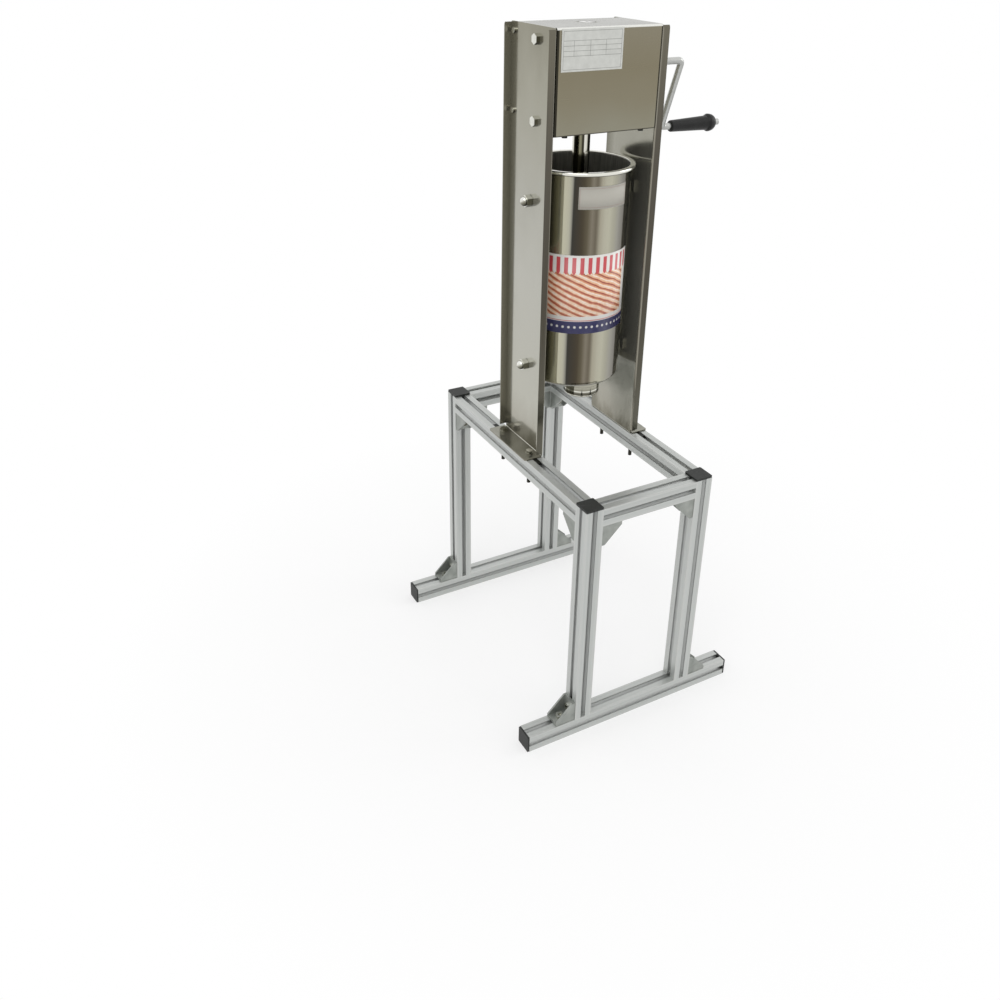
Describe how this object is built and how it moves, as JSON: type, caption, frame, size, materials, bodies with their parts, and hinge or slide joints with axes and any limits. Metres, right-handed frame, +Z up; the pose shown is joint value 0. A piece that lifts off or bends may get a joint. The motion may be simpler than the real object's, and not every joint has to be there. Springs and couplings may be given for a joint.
{
  "type": "hand-cranked churro maker",
  "caption": "Upright dough press with a cranked rack rod, a piston and a lift-off cylinder between two folded steel panels, on a slotted extrusion stand.",
  "frame": {"origin": "on the floor, under the middle of the whole outline's box", "axes": "+Z up, +X to the operator's right where the crank is, -Y to the front where the nozzle is"},
  "size_m": [0.4653, 0.465, 1.065],
  "materials": {
    "extrusion": "satin anodised, drawn",
    "black_cap": "moulded, matt",
    "cast_bracket": "die cast and tumbled, satin",
    "bright_screw": "zinc plated, bright",
    "black_steel": "blackened",
    "panel_steel": "brushed stainless sheet",
    "box_steel": "brushed stainless sheet",
    "machined_steel": "turned and ground",
    "bronze": "sintered bronze, satin",
    "plate": "printed aluminium, satin",
    "gear_steel": "hobbed and oiled",
    "zinc_rod": "zinc plated",
    "grip_black": "moulded, satin",
    "rod_steel": "ground bright",
    "piston_plastic": "turned, matt",
    "seal_rubber": "soft, matt",
    "cylinder_steel": "polished stainless",
    "polished_steel": "turned and mirror polished"
  },
  "bodies": {
    "stand": {"front_floor_beam": "extrusion", "rear_floor_beam": "extrusion", "leg_front_left": "extrusion", "leg_front_right": "extrusion", "leg_rear_left": "extrusion", "leg_rear_right": "extrusion", "left_top_beam": "extrusion", "right_top_beam": "extrusion", "front_top_beam": "extrusion", "rear_top_beam": "extrusion", "leg_caps": "black_cap", "beam_end_caps": "black_cap", "upper_brackets": "cast_bracket", "lower_brackets": "cast_bracket", "bracket_screws": "bright_screw", "slot_nuts": "black_steel", "left_panel": "panel_steel", "right_panel": "panel_steel", "gearbox_cover": "box_steel", "gearbox_back": "box_steel", "gearbox_bottom": "box_steel", "top_guide": "machined_steel", "bottom_guide": "machined_steel", "top_bush": "machined_steel", "bottom_bush": "machined_steel", "bearing_plate": "machined_steel", "nameplate": "plate", "guide_bolts": "bright_screw", "back_screws": "bright_screw", "bottom_screws": "bright_screw", "crank_bushes": "bronze", "idler_pin": "machined_steel", "shaft_bushes": "bronze", "cylinder_pins": "bright_screw", "acorn_nuts": "bright_screw", "foot_bolts": "bright_screw", "foot_nuts": "black_steel", "slot_strips": "black_cap"},
    "crank": {"crank": "zinc_rod", "crank_pinion": "gear_steel", "grip_screw": "zinc_rod"},
    "grip": {"grip": "grip_black"},
    "idler": {"idler_gear": "gear_steel"},
    "rack_drive": {"rack_shaft": "machined_steel", "shaft_gear": "gear_steel", "rack_pinion": "gear_steel"},
    "piston_rod": {"rack_rod": "rod_steel", "piston": "piston_plastic", "piston_seal": "seal_rubber", "piston_nut": "bright_screw"},
    "cylinder": {"dough_cylinder": "cylinder_steel", "cylinder_lugs": "cylinder_steel", "outlet_neck": "polished_steel"},
    "nozzle": {"nozzle": "polished_steel", "nozzle_nut": "polished_steel"}
  },
  "joints": [
    {"name": "crank_turn", "type": "hinge", "parent": "stand", "child": "crank", "pos_m": [0.06985, -0.0185, 1.01], "axis": [-1, 0, 0], "range_deg": [0, 2291.8]},
    {"name": "grip_spin", "type": "hinge", "parent": "crank", "child": "grip", "pos_m": [0.16985, 0.01844, 0.90851], "axis": [1, 0, 0], "continuous": true},
    {"name": "idler_spin", "type": "hinge", "parent": "stand", "child": "idler", "pos_m": [0.03685, 0.0065, 1.00987], "axis": [-1, 0, 0], "range_deg": [-2115.6, 0]},
    {"name": "rack_drive_spin", "type": "hinge", "parent": "stand", "child": "rack_drive", "pos_m": [-0.03015, 0.025, 0.985], "axis": [-1, 0, 0], "range_deg": [0, 1527.9]},
    {"name": "piston_lift", "type": "slide", "parent": "stand", "child": "piston_rod", "axis": [0, 0, 1], "range_m": [0, 0.32]},
    {"name": "cylinder_lift", "type": "slide", "parent": "stand", "child": "cylinder", "axis": [0, 0, 1], "range_m": [0, 0.01]},
    {"name": "nozzle_off", "type": "slide", "parent": "cylinder", "child": "nozzle", "axis": [0, 0, -1], "range_m": [0, 0.02]}
  ],
  "couplings": [
    {"joint": "idler_spin", "follows": "crank_turn", "ratio": -0.92308},
    {"joint": "rack_drive_spin", "follows": "crank_turn", "ratio": 0.66667},
    {"joint": "piston_lift", "follows": "crank_turn", "m_per_rad": 0.008}
  ]
}
